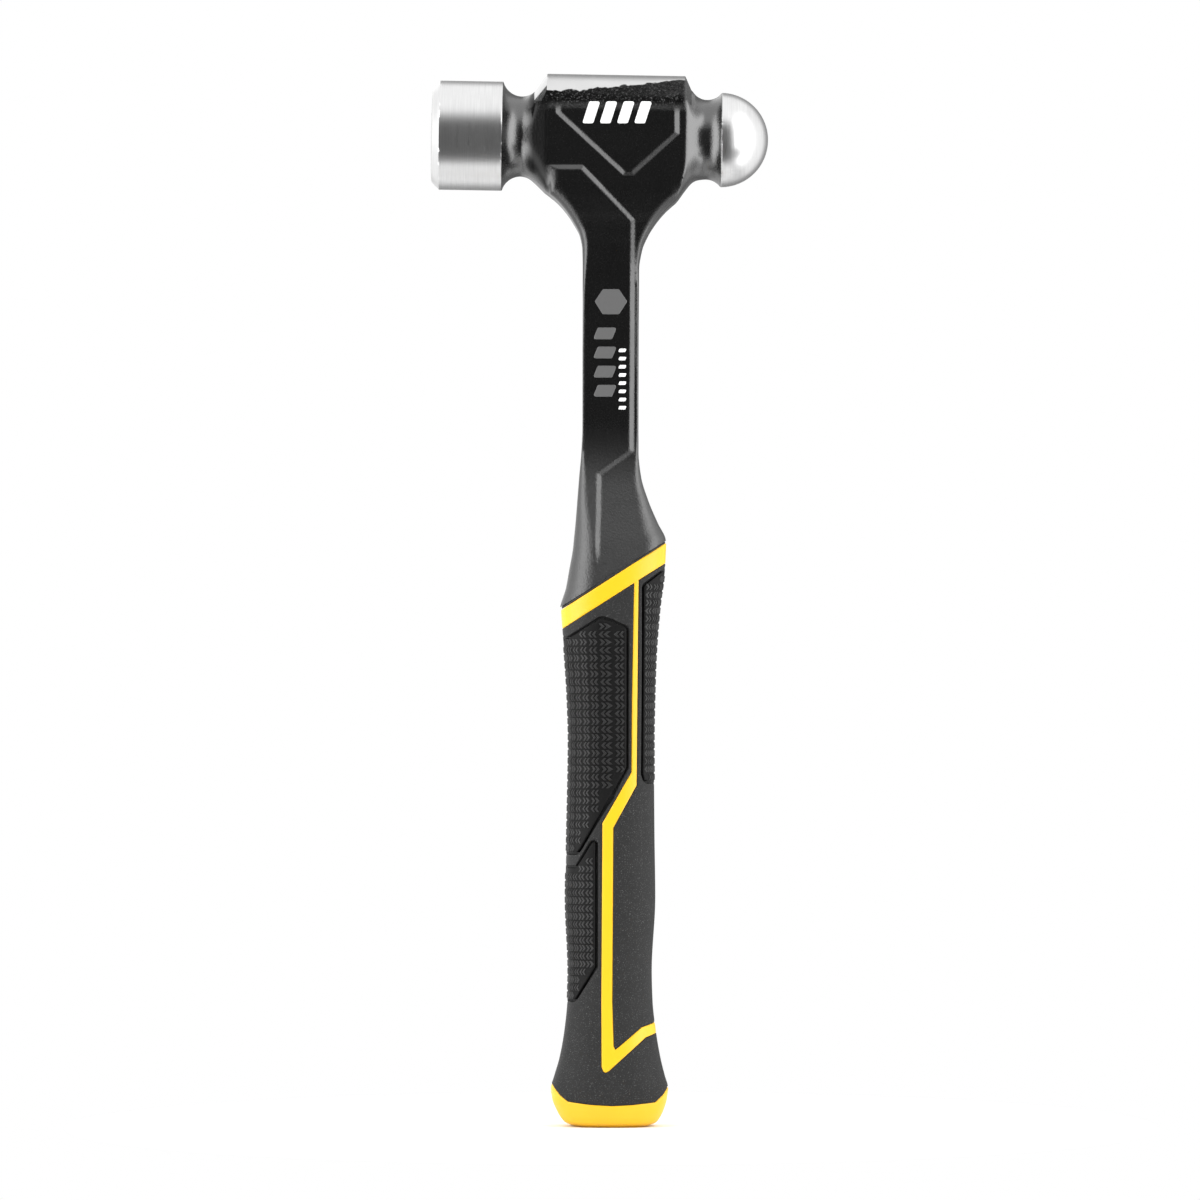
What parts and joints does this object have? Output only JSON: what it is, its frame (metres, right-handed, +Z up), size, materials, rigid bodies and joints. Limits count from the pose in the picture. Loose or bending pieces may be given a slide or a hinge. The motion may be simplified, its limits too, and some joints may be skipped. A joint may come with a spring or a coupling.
{
  "type": "ball peen hammer",
  "caption": "Ball peen hammer with a one-piece forged steel head and shaft, and a soft rubber grip with a coloured collar, stripe and butt cap.",
  "frame": {"origin": "centre of the butt's flat bottom, on the handle's centre line", "axes": "+Z up the handle to the head, +X towards the ball peen, -X towards the striking face, Y across the cheeks"},
  "size_m": [0.1237, 0.04, 0.3861],
  "materials": {
    "forged_steel": "black coated forging with a fine orange peel; striking face, ball and crown ground bright",
    "damper_rubber": "matt",
    "core_plastic": "matt moulded",
    "seal_rubber": "matt",
    "accent_plastic": "satin moulded, fine grain",
    "grip_rubber": "matt with a fine speckle",
    "pad_rubber": "matt with raised chevrons"
  },
  "bodies": {
    "root": {"forging": "forged_steel", "tang_damper": "damper_rubber", "grip_core": "core_plastic", "collar_seal": "seal_rubber", "accent_frame": "accent_plastic", "grip_skin": "grip_rubber", "finger_skin": "grip_rubber", "palm_pad_upper": "pad_rubber", "palm_pad_lower": "pad_rubber", "finger_pad": "pad_rubber", "butt_cap": "accent_plastic"}
  },
  "joints": []
}
